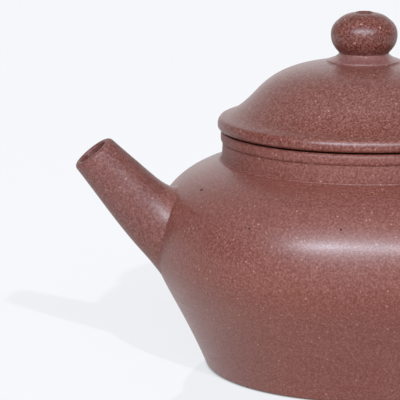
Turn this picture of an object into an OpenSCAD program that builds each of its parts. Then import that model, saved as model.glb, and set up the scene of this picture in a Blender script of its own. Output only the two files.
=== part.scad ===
// Small unglazed clay teapot with a lift-off lid, in millimetres.
// The pot stands on the plane z = 0 with its axis on z. The spout points along -x and the handle along +x.

/* [Body] */
// Radius of the foot at the table
base_r = 35.1; // [30:0.1:40]
// Thickness of the slab at the bottom
base_t = 3.2; // [2.4:0.1:4.5]
// Width of the ring that the pot stands on
foot_ring_w = 5; // [3:0.5:10]
// Depth of the dish under the bottom
base_dish = 1; // [0.4:0.1:1.6]
// Rounding of the foot's outer edge
foot_edge = 1; // [0.4:0.1:1.6]
// Greatest radius of the belly
belly_r = 47.4; // [44:0.1:54]
// Height of the widest place
belly_z = 28.6; // [24:0.2:33]
// Lean of the wall at the foot, from upright, in degrees
wall_lean = 23; // [15:0.5:28]
// How far the wall stays straight above the foot, as a share of the height up to the belly
wall_straight = 0.61; // [0.4:0.01:0.75]
// How full the curve is just under the belly, as a share of the same height
belly_full = 0.25; // [0.1:0.01:0.35]
// How full the curve is just over the belly, as a share of the rise to the shoulder
shoulder_full = 0.775; // [0.5:0.005:0.8]
// Height of the level place that the neck stands on
shoulder_z = 47.1; // [44:0.1:54]
// Slope of the shoulder at the neck, from level, in degrees
shoulder_slope = 20; // [14:0.5:40]
// How far the shoulder keeps that slope, as a share of its width
shoulder_straight = 0.22; // [0.15:0.01:0.5]
// Thickness of the wall
wall_t = 2.8; // [2:0.1:3.5]
// Thickness of the ring slab that closes the wall
shoulder_disc_t = 3; // [2.6:0.1:4]

/* [Neck and mouth] */
// Outer radius of the neck
neck_r = 31.7; // [28:0.1:34]
// Height of the neck under its ring
neck_h = 4.1; // [2.4:0.1:6]
// Thickness of the neck
neck_t = 2.8; // [2:0.1:3.5]
// Width and height of the rounded step at the foot of the neck
neck_step = 0.35; // [0.1:0.05:1]
// Height of the ring at the mouth
mouth_ring_h = 2.5; // [2.2:0.1:4]
// How far that ring stands out from the neck
mouth_ring_proud = 0.3; // [0.2:0.1:0.5]
// Rounding of that ring's upper edge
mouth_edge = 0.9; // [0.3:0.1:1]
// Rounding of that ring's lower edge, which runs in to the neck
mouth_low_edge = 1.2; // [0.6:0.1:1.6]

/* [Spout] */
// Distance of the middle of the spout's mouth from the pot's axis
spout_tip_x = 61.2; // [58:0.1:65]
// Height of the middle of the spout's mouth
spout_tip_z = 50.3; // [47:0.1:53]
// Rise of the spout from level, in degrees
spout_rise = 48; // [44:0.5:52]
// Tilt of the mouth towards level, from square to the spout, in degrees
spout_mouth_tilt = 4; // [0:0.5:10]
// Outer diameter at the mouth
spout_tip_d = 10.2; // [9:0.1:11.5]
// Outer diameter at the root
spout_root_d = 14.4; // [13.5:0.1:16]
// Length from the mouth over which the spout widens
spout_taper = 26; // [18:0.5:29]
// Inner diameter at the mouth
spout_bore_tip_d = 6.8; // [5:0.1:7.2]
// Inner diameter at the root
spout_bore_root_d = 10.4; // [8.5:0.1:10.8]
// Rounding of the lip's outer edge
spout_lip = 1; // [0.4:0.1:1]
// Rounding of the lip's inner edge
spout_bore_lip = 0.5; // [0.2:0.1:0.6]

/* [Strainer] */
// Outer diameter of the pierced half ball
strainer_d = 20; // [19:0.5:23]
// Thickness of the half ball
strainer_t = 1.5; // [1.2:0.1:2]
// Diameter of each hole
strainer_hole_d = 1.8; // [1.2:0.1:2.2]
// Number of rings of holes round the middle hole
strainer_rings = 2; // [1:1:2]
// Angle between one ring of holes and the next, in degrees
strainer_step = 26; // [22:1:28]

/* [Handle] */
// Height at which the upper end leaves the wall
handle_top_z = 40; // [36:0.5:42]
// Height at which the lower end meets the wall
handle_low_z = 14.5; // [10:0.5:18]
// Height of the top of the loop
handle_crown_z = 53; // [50:0.5:56]
// Distance of the top of the loop from the pot's axis
handle_crown_x = 57.5; // [54:0.5:60]
// Greatest distance of the loop from the pot's axis
handle_reach = 76.5; // [72:0.5:84]
// Height of the place that reaches farthest
handle_reach_z = 36; // [32:0.5:40]
// Width at the upper end
handle_top_w = 10.5; // [8:0.1:12]
// Width at the lower end
handle_low_w = 7; // [5:0.1:8]
// Thickness as a share of the width
handle_flat = 0.86; // [0.7:0.01:1]
// Rise of the upper end from level, in degrees
handle_top_rise = 42; // [30:1:55]
// Fall of the lower end from level, in degrees
handle_low_fall = 16; // [5:1:30]

/* [Lid] */
// How far the lid stands out past the ring at the mouth
lid_overhang = 0.7; // [0:0.1:1]
// Height of the ring at the lid's edge
lid_rim_h = 2.95; // [2.6:0.05:3.6]
// Rounding of the lid's lower edge
lid_low_edge = 1; // [0.4:0.1:1.2]
// Rounding of the lid's upper edge, which runs on into the dome
lid_edge = 1.2; // [0.6:0.1:1.4]
// Thickness of the dome
lid_t = 2.8; // [2:0.1:3.4]
// Slope of the dome at the edge, from level, in degrees
dome_edge_slope = 30; // [24:1:44]
// Radius of the steepest place on the dome
dome_turn_r = 24.2; // [22:0.1:26]
// Height of that place above the lid's edge
dome_turn_h = 5.7; // [5:0.1:7]
// Slope of the dome at that place, in degrees
dome_turn_slope = 48; // [42:1:52]
// Height of the dome above the lid's edge
dome_h = 12.6; // [12:0.1:16]
// Slope of the dome at the knob's seat, in degrees
dome_top_slope = 7; // [4:0.5:14]
// Depth of the collar inside the neck
flange_h = 8; // [5:0.5:12]
// Thickness of the collar
flange_t = 2.4; // [1.8:0.1:3]
// Gap all round between the collar and the neck
lid_clearance = 0.4; // [0.3:0.05:0.8]

/* [Knob] */
// Radius of the sloping seat under the knob
seat_r = 8.3; // [7:0.1:9.5]
// Height of the seat's upright edge
seat_edge_h = 0.3; // [0.2:0.1:0.6]
// Height of the whole seat
seat_h = 1.95; // [1.4:0.05:2.6]
// Radius of the knob's foot, where it meets the seat
knob_foot_r = 5.5; // [4.8:0.1:6]
// Slope of the knob's side at its foot, from level, in degrees
knob_foot_slope = 52; // [44:1:64]
// Greatest radius of the knob
knob_r = 7.45; // [6.8:0.05:9]
// Height of the widest place above the seat
knob_wide_h = 4.2; // [3.6:0.1:5]
// Height of the knob above the seat, without the vent's lip
knob_h = 8.6; // [8:0.1:10]
// Diameter of the vent through the knob and the lid
vent_d = 3; // [2:0.1:4]
// Thickness of the raised lip round the vent
vent_lip_w = 0.5; // [0.3:0.1:0.7]
// Height of that lip above the knob
vent_lip_h = 0.5; // [0.4:0.1:0.8]

/* [Hidden] */
$fn = 96;

// Colours of the fired clay
clay = [0.50, 0.31, 0.28];
clay_lid = [0.52, 0.33, 0.29];
clay_inside = [0.45, 0.27, 0.24];

// Points on each curve of a turned outline, and steps in a quarter round
curve_steps = 14;
round_steps = 6;
// Share of the radius that makes a cubic curve follow a quarter circle
quarter_pull = 0.5523;

// Heights of the joints between the pieces of the pot
disc_z = shoulder_z - shoulder_disc_t;
ring_z = shoulder_z + neck_h;
mouth_z = ring_z + mouth_ring_h;
// Radii at the mouth
mouth_in_r = neck_r - neck_t;
ring_r = neck_r + mouth_ring_proud;
shoulder_r = neck_r + neck_step;
dish_r = base_r - foot_ring_w;

// Heights and radii of the lid
lid_top_z = mouth_z + lid_rim_h;
dome_z = lid_top_z + dome_h;
seat_z = dome_z + seat_h;
knob_top_z = seat_z + knob_h;
lid_r = ring_r + lid_overhang;
dome_r = lid_r - lid_edge * (1 - sin(dome_edge_slope));
flange_r = mouth_in_r - lid_clearance;
flange_in_r = flange_r - flange_t;

// Direction at an angle above level, pointing outwards
function out_up(angle) = [cos(angle), sin(angle)];
function out_down(angle) = [cos(angle), -sin(angle)];
function in_up(angle) = [-cos(angle), sin(angle)];

// Points of a cubic curve, and the directions in which it runs
function curve(p) = [for (i = [0:curve_steps]) curve_point(p, i / curve_steps)];
function curve_dirs(p) = [for (i = [0:curve_steps]) curve_dir(p, i / curve_steps)];
function curve_point(p, t) =
    pow(1 - t, 3) * p[0] + 3 * pow(1 - t, 2) * t * p[1] + 3 * (1 - t) * t * t * p[2] + pow(t, 3) * p[3];
function curve_dir(p, t) =
    pow(1 - t, 2) * (p[1] - p[0]) + 2 * (1 - t) * t * (p[2] - p[1]) + t * t * (p[3] - p[2]);
// The same curve moved to its left by a wall's thickness
function inset(p, wall) =
    let (points = curve(p), dirs = curve_dirs(p))
    [for (i = [0:curve_steps]) points[i] + wall / norm(dirs[i]) * [-dirs[i].y, dirs[i].x]];
// Points of a round about a centre, between two angles
function quarter(centre, r, a0, a1) =
    [for (i = [0:round_steps]) centre + r * out_up(a0 + (a1 - a0) * i / round_steps)];
// A list without its first point, where one curve follows another
function rest(list) = [for (i = [1:len(list) - 1]) list[i]];

// Outline of the pot, from the foot to the belly and from the belly to the neck
wall_pull = wall_straight * belly_z / cos(wall_lean);
low_curve = [[base_r, 0],
             [base_r, 0] + wall_pull * out_up(90 - wall_lean),
             [belly_r, belly_z * (1 - belly_full)],
             [belly_r, belly_z]];
shoulder_pull = shoulder_straight * (belly_r - shoulder_r) / cos(shoulder_slope);
high_curve = [[belly_r, belly_z],
              [belly_r, belly_z + shoulder_full * (shoulder_z - belly_z)],
              [shoulder_r, shoulder_z] + shoulder_pull * out_down(shoulder_slope),
              [shoulder_r, shoulder_z]];
// Rounding at the foot, from level round to the leaning wall
foot_round = quarter([base_r - foot_edge * (1 - sin(wall_lean)) / cos(wall_lean), foot_edge],
                     foot_edge, -90, -wall_lean);
pot_line = concat(foot_round, rest(curve(low_curve)), rest(curve(high_curve)));
pot_inner_line = concat(inset(low_curve, wall_t), rest(inset(high_curve, wall_t)));

// Radius of the pot's outside at a height
function pot_r(z) = lookup(z, [for (p = pot_line) [p.y, p.x]]);

// How far the dome keeps its slope: at its edge, below and above the steepest place, and at the top,
// as shares of the width of the curve
dome_edge_straight = 0.15;
dome_hollow = 0.93;
dome_crown_straight = 0.39;
dome_top_straight = 0.455;
dome_edge_pull = dome_edge_straight * (dome_r - dome_turn_r);
dome_hollow_pull = dome_hollow * (dome_r - dome_turn_r);
dome_crown_pull = dome_crown_straight * (dome_turn_r - seat_r);
dome_top_pull = dome_top_straight * (dome_turn_r - seat_r);

// Outline of the lid's dome, from its edge to the steepest place and from there to the knob's seat
edge_curve = [[dome_r, lid_top_z],
              [dome_r, lid_top_z] + dome_edge_pull * in_up(dome_edge_slope),
              [dome_turn_r, lid_top_z + dome_turn_h] + dome_hollow_pull * out_down(dome_turn_slope),
              [dome_turn_r, lid_top_z + dome_turn_h]];
crown_curve = [[dome_turn_r, lid_top_z + dome_turn_h],
               [dome_turn_r, lid_top_z + dome_turn_h] + dome_crown_pull * in_up(dome_turn_slope),
               [seat_r, dome_z] + dome_top_pull * out_down(dome_top_slope),
               [seat_r, dome_z]];
dome_line = concat(curve(edge_curve), rest(curve(crown_curve)));
dome_inner_line = concat(inset(edge_curve, lid_t), rest(inset(crown_curve, lid_t)));

// How full the knob's curves are: over the foot, under and over the widest place, and at the top,
// as shares of the height or the width of the curve
knob_foot_full = 0.31;
knob_low_full = 0.55;
knob_high_full = 0.64;
knob_top_full = 0.52;

// Outline of the knob: foot to the widest place, and on to the vent's lip
knob_top_r = vent_d / 2 + vent_lip_w;
knob_low_curve = [[knob_foot_r, seat_z],
                  [knob_foot_r, seat_z] + knob_foot_full * knob_wide_h * out_up(knob_foot_slope),
                  [knob_r, seat_z + knob_wide_h * (1 - knob_low_full)],
                  [knob_r, seat_z + knob_wide_h]];
knob_high_pull = knob_high_full * (knob_h - knob_wide_h);
knob_top_pull = knob_top_full * (knob_r - knob_top_r);
knob_high_curve = [[knob_r, seat_z + knob_wide_h],
                   [knob_r, seat_z + knob_wide_h + knob_high_pull],
                   [knob_top_r + knob_top_pull, knob_top_z],
                   [knob_top_r, knob_top_z]];
knob_line = concat(curve(knob_low_curve), rest(curve(knob_high_curve)));

// The spout's length runs on into the pot, to the foot's distance from the axis
spout_len = (spout_tip_x - base_r) / cos(spout_rise);
spout_taper_pull = spout_taper / 3;
// Share of the widening that the first third of the taper takes
spout_tip_flare = 0.36;
spout_tip_r = spout_tip_d / 2;
spout_root_r = spout_root_d / 2;
spout_curve = [[spout_tip_r, spout_lip],
               [spout_tip_r + spout_tip_flare * (spout_root_r - spout_tip_r), spout_lip + spout_taper_pull],
               [spout_root_r, spout_taper - spout_taper_pull],
               [spout_root_r, spout_taper]];

// Middle of the strainer, where the spout's axis meets the inside of the wall.
// Each pass moves along the axis to the wall's radius at the last height.
wall_passes = 20;
function axis_z(w) = spout_tip_z - w * sin(spout_rise);
function wall_hit(w, passes) =
    passes == 0 ? w : wall_hit((spout_tip_x - pot_r(axis_z(w)) + wall_t) / cos(spout_rise), passes - 1);
strainer_w = wall_hit(0, wall_passes);
strainer_x = spout_tip_x - strainer_w * cos(spout_rise);
strainer_z = axis_z(strainer_w);
// Lean of the wall there, from upright, so that the rings of holes lie square to it
strainer_lean = atan((pot_r(strainer_z + wall_t) - pot_r(strainer_z - wall_t)) / (2 * wall_t));

// Path of the handle's middle line, in x and z: up from the wall, over the top, and down to the wall
handle_rings = 10;
handle_sides = 16;
handle_crown = [handle_crown_x, handle_crown_z - handle_flat * handle_top_w / 2];
handle_far = [handle_reach - handle_flat * (handle_top_w + handle_low_w) / 4, handle_reach_z];
// Both ends run on into the pot by half their width
handle_start = [pot_r(handle_top_z), handle_top_z] - handle_top_w / 2 * out_up(handle_top_rise);
handle_end = [pot_r(handle_low_z), handle_low_z] - handle_low_w / 2 * out_up(handle_low_fall);
// How far the ends of the handle run straight, as shares of their width
handle_up_straight = 0.4;
handle_down_straight = 0.55;
handle_up_pull = handle_up_straight * (handle_crown.x - handle_start.x);
handle_down_pull = handle_down_straight * (handle_far.x - handle_end.x);
handle_paths = [
    [handle_start, handle_start + handle_up_pull * out_up(handle_top_rise) / cos(handle_top_rise),
     handle_crown - [handle_up_pull, 0], handle_crown],
    [handle_crown, handle_crown + [quarter_pull * (handle_far.x - handle_crown.x), 0],
     handle_far + [0, quarter_pull * (handle_crown.y - handle_far.y)], handle_far],
    [handle_far, handle_far - [0, quarter_pull * (handle_far.y - handle_end.y)],
     handle_end + handle_down_pull * out_up(handle_low_fall), handle_end]];
handle_count = len(handle_paths) * handle_rings;
function handle_part(i) = min(floor(i / handle_rings), len(handle_paths) - 1);
function handle_t(i) = i / handle_rings - handle_part(i);
function handle_w(i) = handle_top_w + (handle_low_w - handle_top_w) * i / handle_count;
// One ring of points: across the handle along y, and through it square to the path
function handle_ring(i) =
    let (path = handle_paths[handle_part(i)],
         middle = curve_point(path, handle_t(i)),
         run = curve_dir(path, handle_t(i)),
         side = [-run.y, run.x] / norm(run),
         w = handle_w(i) / 2)
    [for (k = [0:handle_sides - 1])
        let (a = 360 * k / handle_sides, in_plane = middle + w * handle_flat * cos(a) * side)
        [in_plane.x, w * sin(a), in_plane.y]];
handle_points = [for (i = [0:handle_count]) each handle_ring(i)];
function handle_corner(i, k) = i * handle_sides + k % handle_sides;
handle_faces = concat(
    [[for (k = [handle_sides - 1:-1:0]) handle_corner(0, k)]],
    [for (i = [0:handle_count - 1], k = [0:handle_sides - 1])
        each [[handle_corner(i, k), handle_corner(i + 1, k + 1), handle_corner(i + 1, k)],
              [handle_corner(i, k), handle_corner(i, k + 1), handle_corner(i + 1, k + 1)]]],
    [[for (k = [0:handle_sides - 1]) handle_corner(handle_count, k)]]);

// Flat outlines that are turned about the axis
module level_band(low, high) {
    translate([0, low]) square([belly_r + wall_t, high - low]);
}

module pot_outline() {
    polygon(concat([[0, 0]], pot_line, [[0, shoulder_z]]));
}

module cavity_outline() {
    last = pot_inner_line[len(pot_inner_line) - 1];
    polygon(concat([[0, base_t]], [for (p = pot_inner_line) if (p.y > base_t) p], [[0, last.y]]));
}

// Solids that cut others
module pot_solid() {
    rotate_extrude() pot_outline();
}

module cavity_solid() {
    rotate_extrude() cavity_outline();
}

// Places what is drawn along z on the spout's axis, from its mouth inwards. Each side slides along the axis
// with its distance from it, which tilts the mouth.
module on_spout_axis() {
    slide = -tan(spout_mouth_tilt);
    translate([-spout_tip_x, 0, spout_tip_z]) rotate([0, 90 + spout_rise, 0])
        multmatrix([[1, 0, 0, 0], [0, 1, 0, 0], [slide, 0, 1, 0]]) children();
}

module spout_bore() {
    tip_r = spout_bore_tip_d / 2;
    root_r = spout_bore_root_d / 2;
    flare = quarter([tip_r + spout_bore_lip, spout_bore_lip], spout_bore_lip, 270, 180);
    on_spout_axis() rotate_extrude()
        polygon(concat([[0, -spout_bore_lip], [tip_r + spout_bore_lip, -spout_bore_lip]], flare,
                       [[root_r, spout_taper], [root_r, spout_len], [0, spout_len]]));
}

module vent() {
    cylinder(h = knob_top_z, d = vent_d);
}

// Pieces of the pot
module base_disc() {
    dish_curve = [[dish_r, 0], [dish_r / 2, base_dish], [dish_r / 2, base_dish], [0, base_dish]];
    color(clay) rotate_extrude() difference() {
        intersection() {
            pot_outline();
            level_band(0, base_t);
        }
        polygon(concat([[0, 0]], curve(dish_curve)));
    }
}

module body_wall() {
    color(clay) difference() {
        rotate_extrude() difference() {
            intersection() {
                pot_outline();
                level_band(base_t, disc_z);
            }
            cavity_outline();
        }
        spout_bore();
    }
}

module shoulder_disc() {
    color(clay) rotate_extrude() difference() {
        intersection() {
            pot_outline();
            level_band(disc_z, shoulder_z);
        }
        cavity_outline();
        translate([0, disc_z]) square([mouth_in_r, shoulder_disc_t]);
    }
}

module neck_ring() {
    step = quarter([neck_r, shoulder_z], neck_step, 0, 90);
    color(clay) rotate_extrude()
        polygon(concat([[mouth_in_r, shoulder_z]], step, [[neck_r, ring_z], [mouth_in_r, ring_z]]));
}

module mouth_ring() {
    low_turn = acos(1 - mouth_ring_proud / mouth_low_edge);
    low = quarter([ring_r - mouth_low_edge, ring_z + mouth_low_edge * sin(low_turn)], mouth_low_edge,
                  -low_turn, 0);
    high = quarter([ring_r - mouth_edge, mouth_z - mouth_edge], mouth_edge, 0, 90);
    color(clay) rotate_extrude()
        polygon(concat([[mouth_in_r, ring_z]], low, high, [[mouth_in_r, mouth_z]]));
}

module spout() {
    lip = quarter([spout_tip_r - spout_lip, spout_lip], spout_lip, -90, 0);
    root = [[spout_root_r, spout_len], [0, spout_len]];
    color(clay) difference() {
        on_spout_axis() rotate_extrude() polygon(concat([[0, 0]], lip, rest(curve(spout_curve)), root));
        pot_solid();
        spout_bore();
    }
}

// One hole of the strainer, an angle away from its middle and turned round it
module strainer_hole(tilt, turn) {
    rotate([turn, 0, 0]) rotate([0, 90 - tilt, 0]) translate([0, 0, strainer_d / 2 - 2 * strainer_t])
        cylinder(h = 3 * strainer_t, d = strainer_hole_d);
}

module strainer_dome() {
    color(clay_inside) difference() {
        intersection() {
            translate([-strainer_x, 0, strainer_z]) difference() {
                sphere(d = strainer_d);
                sphere(d = strainer_d - 2 * strainer_t);
            }
            cavity_solid();
        }
        translate([-strainer_x, 0, strainer_z]) rotate([0, -strainer_lean, 0]) {
            strainer_hole(0, 0);
            for (ring = [1:strainer_rings], k = [1:6 * ring])
                strainer_hole(ring * strainer_step, 60 * k / ring);
        }
    }
}

module handle() {
    color(clay) difference() {
        polyhedron(handle_points, handle_faces);
        pot_solid();
    }
}

// Pieces of the lid
module lid_rim() {
    low = quarter([lid_r - lid_low_edge, mouth_z + lid_low_edge], lid_low_edge, -90, 0);
    high = quarter([lid_r - lid_edge, lid_top_z - lid_edge * cos(dome_edge_slope)], lid_edge,
                   0, 90 - dome_edge_slope);
    color(clay_lid) rotate_extrude()
        polygon(concat([[flange_in_r, mouth_z]], low, high, [[flange_in_r, lid_top_z]]));
}

module lid_dome() {
    inner_foot = [[0, mouth_z], [dome_inner_line[0].x, mouth_z]];
    inner_top = [[0, dome_inner_line[len(dome_inner_line) - 1].y]];
    color(clay_lid) difference() {
        rotate_extrude() difference() {
            polygon(concat([[0, lid_top_z]], dome_line, [[0, dome_z]]));
            intersection() {
                polygon(concat(inner_foot, dome_inner_line, inner_top));
                translate([0, mouth_z]) square([flange_in_r, dome_z - mouth_z]);
            }
        }
        vent();
    }
}

module lid_flange() {
    color(clay_inside) translate([0, 0, mouth_z - flange_h]) difference() {
        cylinder(h = flange_h, r = flange_r);
        cylinder(h = flange_h, r = flange_in_r);
    }
}

module knob_seat() {
    color(clay_lid) difference() {
        rotate_extrude()
            polygon([[0, dome_z], [seat_r, dome_z], [seat_r, dome_z + seat_edge_h], [knob_foot_r, seat_z],
                     [0, seat_z]]);
        vent();
    }
}

module knob() {
    lip_r = vent_lip_w / 2;
    lip = quarter([vent_d / 2 + lip_r, knob_top_z + vent_lip_h - lip_r], lip_r, 0, 180);
    color(clay_lid) rotate_extrude()
        polygon(concat(knob_line, lip, [[vent_d / 2, seat_z]]));
}

base_disc();
body_wall();
shoulder_disc();
neck_ring();
mouth_ring();
spout();
strainer_dome();
handle();
lid_rim();
lid_dome();
lid_flange();
knob_seat();
knob();
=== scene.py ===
# %% [markdown]
# # A small unglazed clay teapot
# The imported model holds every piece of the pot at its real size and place. This lesson gives each piece a
# finer mesh and the finish of fired, burnished clay, and it never moves or resizes a piece. All lengths are
# in metres, as in Blender, and sizes that a potter would give in millimetres are written as a number times MM.

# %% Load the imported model
import math
import bpy
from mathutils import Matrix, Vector


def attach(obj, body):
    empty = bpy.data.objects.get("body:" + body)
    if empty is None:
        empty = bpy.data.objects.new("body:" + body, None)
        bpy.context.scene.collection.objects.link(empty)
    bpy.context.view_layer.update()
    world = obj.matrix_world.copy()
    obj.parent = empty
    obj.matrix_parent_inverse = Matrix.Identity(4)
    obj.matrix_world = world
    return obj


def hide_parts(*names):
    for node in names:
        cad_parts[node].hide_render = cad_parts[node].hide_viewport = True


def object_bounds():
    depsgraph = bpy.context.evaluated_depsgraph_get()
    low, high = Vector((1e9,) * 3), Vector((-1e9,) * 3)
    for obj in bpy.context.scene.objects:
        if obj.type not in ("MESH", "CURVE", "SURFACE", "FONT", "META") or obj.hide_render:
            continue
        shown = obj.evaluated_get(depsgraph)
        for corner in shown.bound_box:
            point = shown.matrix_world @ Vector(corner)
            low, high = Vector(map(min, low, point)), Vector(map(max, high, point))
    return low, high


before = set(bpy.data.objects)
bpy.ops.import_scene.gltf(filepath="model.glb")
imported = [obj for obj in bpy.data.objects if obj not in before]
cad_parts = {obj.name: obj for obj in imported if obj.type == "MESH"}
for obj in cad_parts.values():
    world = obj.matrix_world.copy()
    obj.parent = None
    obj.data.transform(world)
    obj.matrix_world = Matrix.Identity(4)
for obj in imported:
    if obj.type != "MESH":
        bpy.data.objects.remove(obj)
cad_low, cad_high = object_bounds()
MM = 0.001
print("CAD box in mm:", [round(v / MM, 1) for v in (*cad_low, *cad_high)])

# %% [markdown]
# ## The camera
# The pot was seen through a long lens from a little above its lid, with the spout turned towards the lens.
# A camera is added where that lens stood, and its angles are plain numbers, so that the frame stays the same.

# %% Add the camera
LENS_MM = 216
SENSOR_MM = 36
SPOUT_TURN = math.radians(12)
CAMERA_BACK = 534.1 * MM
CAMERA_HEIGHT = 143.5 * MM
CAMERA_DIP = math.radians(11.24)
CAMERA_SWING = math.radians(3.936)

bpy.ops.object.camera_add(
    location=(-CAMERA_BACK * math.sin(SPOUT_TURN), -CAMERA_BACK * math.cos(SPOUT_TURN), CAMERA_HEIGHT),
    rotation=(math.pi / 2 - CAMERA_DIP, 0, CAMERA_SWING - SPOUT_TURN))
camera = bpy.context.active_object
camera.data.lens = LENS_MM
camera.data.sensor_width = SENSOR_MM
bpy.context.scene.camera = camera
print("camera at", [round(v, 4) for v in camera.location])

# %% [markdown]
# ## Floor
# The pot stood on a photographer's light table: a white sheet that glows from below and so hides most shadows.
# A lamp under a glass plate could be built, but a plane that gives off light looks the same and is simpler. A
# narrow ring round the foot is painted dim, a painted contact shadow that shows as a thin dark line.

# %% Lay the floor
FLOOR_SIZE = 12
SHEET_WHITE, SHEET_ROUGHNESS = (0.05, 0.05, 0.05, 1), 0.9
SHEET_GLOW, GLOW_STRENGTH = (0.97, 0.98, 1.01, 1), 0.77
FOOT_R, CONTACT_SHADOW_WIDTH = 34.2 * MM, 1.6 * MM
CONTACT_SHADOW_GREY = (0.1, 0.1, 0.1, 1)


def add_node(tree, kind, inputs=None, **options):
    """Adds a node, sets its options, and gives each named input a value or a link."""
    made = tree.nodes.new("ShaderNode" + kind)
    for option, value in options.items():
        setattr(made, option, value)
    for socket, value in (inputs or {}).items():
        if isinstance(value, bpy.types.NodeSocket):
            tree.links.new(value, made.inputs[socket])
        else:
            made.inputs[socket].default_value = value
    return made


def ramp(tree, value, low, high, at_low, at_high):
    """A value carried smoothly from one range into another."""
    inputs = dict(enumerate((value, low, high, at_low, at_high)))
    return add_node(tree, "MapRange", inputs, interpolation_type="SMOOTHSTEP").outputs[0]


def mix_colour(tree, share, a, b):
    """The first colour, and more of the second one as the share rises."""
    return add_node(tree, "Mix", {0: share, 6: a, 7: b}, data_type="RGBA").outputs[2]


bpy.ops.mesh.primitive_plane_add(size=FLOOR_SIZE)
floor = bpy.context.active_object
floor.name = "studio_floor"
sheet = bpy.data.materials.new("glowing_sheet")
sheet.use_nodes = True
sheet_tree = sheet.node_tree
sheet_shader = sheet_tree.nodes["Principled BSDF"].inputs
sheet_shader["Base Color"].default_value = SHEET_WHITE
sheet_shader["Roughness"].default_value = SHEET_ROUGHNESS
sheet_shader["Specular IOR Level"].default_value = 0.0
sheet_shader["Emission Strength"].default_value = GLOW_STRENGTH
spot = add_node(sheet_tree, "TexCoord").outputs["Object"]
from_axis = add_node(sheet_tree, "VectorMath", {0: spot}, operation="LENGTH").outputs["Value"]
# Painted contact shadow: the glow is dimmed to grey in a narrow ring round the foot.
outside_contact_shadow = ramp(sheet_tree, from_axis, FOOT_R, FOOT_R + CONTACT_SHADOW_WIDTH, 0.0, 1.0)
sheet_tree.links.new(mix_colour(sheet_tree, outside_contact_shadow, CONTACT_SHADOW_GREY, SHEET_GLOW), sheet_shader["Emission Color"])
floor.data.materials.append(sheet)
print(floor.name, "is dim up to", round((FOOT_R + CONTACT_SHADOW_WIDTH) / MM, 1), "mm from the axis")

# %% [markdown]
# ## Tent
# A white tent stood round the table. It could be built as a room, but a world that is bright behind the pot and
# dim on its left gives the same reflections. The direction of each ray, from -1 to 1 along X, Y and Z, goes
# through smooth ramps: from left to right, then from the front to the back, then up to the roof.

# %% Put up the tent
TENT_LEFT, TENT_FRONT, TENT_BACK_LEFT, TENT_BACK, TENT_ROOF = 0.08, 0.45, 0.75, 1.35, 0.45
LEFT_TO_FRONT, LEFT_TO_BACK = (-0.9, 0.0), (-0.55, 0.1)
FRONT_TO_BACK, WALL_TO_ROOF = (0.15, 0.95), (0.3, 0.85)
TENT_WHITE = (0.985, 0.985, 1.0, 1)
world = bpy.data.worlds.new("white_tent")
world.use_nodes = True
tent = world.node_tree
looking = add_node(tent, "SeparateXYZ", {0: add_node(tent, "TexCoord").outputs["Generated"]}).outputs
front_wall = ramp(tent, looking["X"], *LEFT_TO_FRONT, TENT_LEFT, TENT_FRONT)
back_wall = ramp(tent, looking["X"], *LEFT_TO_BACK, TENT_BACK_LEFT, TENT_BACK)
walls = ramp(tent, looking["Y"], *FRONT_TO_BACK, front_wall, back_wall)
whole_tent = ramp(tent, looking["Z"], *WALL_TO_ROOF, walls, TENT_ROOF)
tent.links.new(whole_tent, tent.nodes["Background"].inputs["Strength"])
tent.nodes["Background"].inputs["Color"].default_value = TENT_WHITE
bpy.context.scene.world = world
bpy.context.scene.view_settings.view_transform = "Standard"
print("tent:", TENT_LEFT, "on the left to", TENT_BACK, "behind")

# %% [markdown]
# ## Soft box
# One long soft box in front of the table draws the bands of shine on the shoulder, the lid's edge and the knob. It
# could be a glowing plane, but an area lamp is sampled better. Part of the box shone brighter, so a small second
# lamp hangs just before it.

# %% Hang the soft box
BOX_WHITE = (0.78, 0.91, 1.04)


def add_lamp(name, swing, height, distance, size, power):
    """An area lamp aimed at the pot: swing to the right of -Y and height above level, in degrees."""
    a, e = math.radians(swing), math.radians(height)
    towards = Vector((math.sin(a) * math.cos(e), -math.cos(a) * math.cos(e), math.sin(e)))
    aim = Vector((0, 0, cad_high.z / 2))
    bpy.ops.object.light_add(type="AREA", location=aim + distance * towards)
    lamp = bpy.context.active_object
    lamp.name = name
    lamp.rotation_euler = towards.to_track_quat("Z", "Y").to_euler()
    lamp.data.shape = "RECTANGLE"
    lamp.data.size, lamp.data.size_y = size
    lamp.data.energy = power
    lamp.data.color = BOX_WHITE
    print(name, "at", [round(v, 2) for v in lamp.location], power, "W")


add_lamp("front_box", swing=-14, height=35, distance=3.0, size=(3.9, 0.4), power=150)
add_lamp("box_middle", swing=-32, height=35, distance=2.9, size=(0.7, 0.3), power=14)

# %% [markdown]
# ## Shadows
# Two far lamps threw faint shadows on the sheet, one from the front and one from behind. Suns stand for them. On
# the clay they would draw small hard spots of shine that the real pot doesn't show, so light linking lets only
# the sheet receive them.

# %% Throw the two faint shadows
SUN_SPREAD = math.radians(1.6)
sheet_only = bpy.data.collections.new("sheet_only")
sheet_only.objects.link(floor)


def add_sun(name, swing, height, strength):
    """A sun that only the sheet receives, from a swing round Z and a height above level, in degrees."""
    bpy.ops.object.light_add(type="SUN", rotation=(math.radians(90 - height), 0, math.radians(swing)))
    sun = bpy.context.active_object
    sun.name = name
    sun.data.energy = strength
    sun.data.angle = SUN_SPREAD
    sun.light_linking.receiver_collection = sheet_only
    print(name, "at", height, "degrees above level")


add_sun("spout_sun", swing=9.6, height=33.6, strength=7.0)
add_sun("back_sun", swing=-173, height=45, strength=5.5)

# %% [markdown]
# ## Outlines
# Most pieces were turned or beaten round, so half an outline says all about them. It could be drawn again by
# hand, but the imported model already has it: a copy of a piece, cut through its axis, leaves exactly that line.

# %% Cut an outline out of a piece
MERGE = 0.001 * MM


def only(piece):
    """Selects this object alone and makes it the active one."""
    bpy.ops.object.select_all(action="DESELECT")
    piece.select_set(True)
    bpy.context.view_layer.objects.active = piece


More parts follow.
